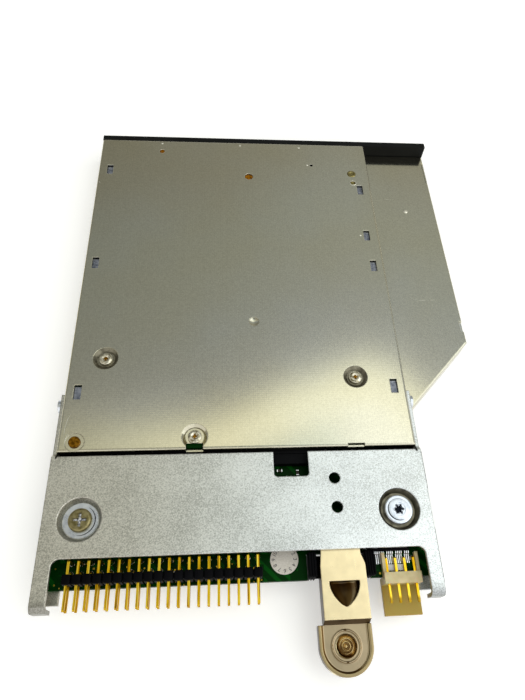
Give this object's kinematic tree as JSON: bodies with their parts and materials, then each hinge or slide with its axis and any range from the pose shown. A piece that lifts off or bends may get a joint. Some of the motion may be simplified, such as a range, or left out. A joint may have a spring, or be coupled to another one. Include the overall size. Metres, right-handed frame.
{
  "type": "slim optical disc drive",
  "caption": "Slim tray-loading optical disc drive in a sheet-metal case, with a rear adapter bracket, a wide pin header, a power header and a sprung rear catch.",
  "frame": {"origin": "centre of the top cover's outer face, which the drive lies on in the picture", "axes": "+Z out of the drive's underside, +Y out through the tray bezel, +X towards the shallow wing"},
  "size_m": [0.1298, 0.1876, 0.0131],
  "materials": {
    "aluminium": "turned",
    "bezel_plastic": "fine grained black moulding",
    "black_plastic": "black moulding",
    "board_green": "green solder mask",
    "brass": "brass",
    "bright_steel": "bright steel",
    "case_steel": "rolled sheet, satin",
    "chip_black": "epoxy",
    "cover_steel": "rolled sheet, satin",
    "gold_pin": "gold flash",
    "lens_glass": "coated",
    "light_pipe": "translucent",
    "nickel": "nickel plated",
    "nylon": "natural nylon",
    "paper": "paper label",
    "rubber": "soft rubber",
    "stainless": "stainless, smooth",
    "tray_plastic": "charcoal moulding",
    "zinc_steel": "zinc plated, speckled"
  },
  "bodies": {
    "root": {"adapter_board": "board_green", "adapter_socket": "black_plastic", "base_case": "case_steel", "board_chips": "chip_black", "board_standoffs": "brass", "bracket_screw_left": "bright_steel", "bracket_screw_right": "bright_steel", "bracket_washer_left": "bright_steel", "brass_stud": "brass", "case_screws": "brass", "drive_connector": "black_plastic", "ear_screws": "bright_steel", "guide_shell_left": "stainless", "guide_shell_right": "stainless", "ide_header_body": "black_plastic", "ide_header_pins": "gold_pin", "latch_guide": "black_plastic", "lock_post": "bright_steel", "main_board": "board_green", "power_header_body": "nylon", "power_header_pins": "gold_pin", "rear_bracket": "zinc_steel", "round_label": "paper", "top_cover": "cover_steel"},
    "tray": {"activity_light": "light_pipe", "bezel": "bezel_plastic", "guide_rod_main": "stainless", "guide_rod_sub": "stainless", "sled_motor": "bright_steel", "solenoid": "bright_steel", "spindle_motor": "bright_steel", "traverse_chassis": "stainless", "traverse_dampers": "rubber", "tray": "tray_plastic", "tray_board": "board_green", "tray_shield": "stainless"},
    "disc_catch_1": {"disc_catch_1": "black_plastic"},
    "disc_catch_2": {"disc_catch_2": "black_plastic"},
    "disc_catch_3": {"disc_catch_3": "black_plastic"},
    "eject_button": {"eject_button": "bezel_plastic"},
    "latch": {"latch_slide": "nickel"},
    "lead_screw": {"lead_screw": "stainless"},
    "lens_holder": {"lens": "lens_glass", "lens_holder": "black_plastic"},
    "lock_lever": {"lock_lever": "black_plastic"},
    "pickup_sled": {"pickup_sled": "aluminium"},
    "rail_left": {"rail_left": "stainless"},
    "rail_right": {"rail_right": "stainless"},
    "turntable": {"turntable": "aluminium"}
  },
  "joints": [
    {"name": "tray_slide", "type": "slide", "parent": "root", "child": "tray", "axis": [0, 1, 0], "range_m": [0, 0.124]},
    {"name": "rail_left_slide", "type": "slide", "parent": "root", "child": "rail_left", "axis": [0, 1, 0], "range_m": [0, 0.062]},
    {"name": "rail_right_slide", "type": "slide", "parent": "root", "child": "rail_right", "axis": [0, 1, 0], "range_m": [0, 0.062]},
    {"name": "eject_button_press", "type": "slide", "parent": "tray", "child": "eject_button", "axis": [0, -1, 0], "range_m": [0, 0.0008], "stiffness_N_per_m": 400, "springref_m": -0.0004},
    {"name": "turntable_spin", "type": "hinge", "parent": "tray", "child": "turntable", "pos_m": [0, 0, 0.004], "axis": [0, 0, 1], "continuous": true},
    {"name": "sled_slide", "type": "slide", "parent": "tray", "child": "pickup_sled", "axis": [-0.7071, 0.7071, 0], "range_m": [0, 0.033]},
    {"name": "lead_screw_turn", "type": "hinge", "parent": "tray", "child": "lead_screw", "pos_m": [0.01174, 0.01174, 0.0079], "axis": [-0.7071, 0.7071, 0], "range_deg": [0, 3961]},
    {"name": "lens_focus", "type": "slide", "parent": "pickup_sled", "child": "lens_holder", "axis": [0, 0, 1], "range_m": [-0.0004, 0.0004], "stiffness_N_per_m": 30},
    {"name": "lock_lever_turn", "type": "hinge", "parent": "tray", "child": "lock_lever", "pos_m": [0.0275, 0.0385, 0.0089], "axis": [0, 0, -1], "range_deg": [0, 22], "stiffness_Nm_per_rad": 0.02, "springref_deg": -5.73},
    {"name": "latch_slide_in", "type": "slide", "parent": "root", "child": "latch", "axis": [0, 1, 0], "range_m": [0, 0.003], "stiffness_N_per_m": 500, "springref_m": -0.001},
    {"name": "disc_catch_1_press", "type": "slide", "parent": "turntable", "child": "disc_catch_1", "axis": [-1, 0, 0], "range_m": [0, 0.0006], "stiffness_N_per_m": 200, "springref_m": -0.0004},
    {"name": "disc_catch_2_press", "type": "slide", "parent": "turntable", "child": "disc_catch_2", "axis": [0.5, -0.866, 0], "range_m": [0, 0.0006], "stiffness_N_per_m": 200, "springref_m": -0.0004},
    {"name": "disc_catch_3_press", "type": "slide", "parent": "turntable", "child": "disc_catch_3", "axis": [0.5, 0.866, 0], "range_m": [0, 0.0006], "stiffness_N_per_m": 200, "springref_m": -0.0004}
  ],
  "couplings": [
    {"joint": "rail_left_slide", "follows": "tray_slide", "ratio": 0.5},
    {"joint": "rail_right_slide", "follows": "tray_slide", "ratio": 0.5},
    {"joint": "lead_screw_turn", "follows": "sled_slide", "rad_per_m": 2094.4}
  ]
}
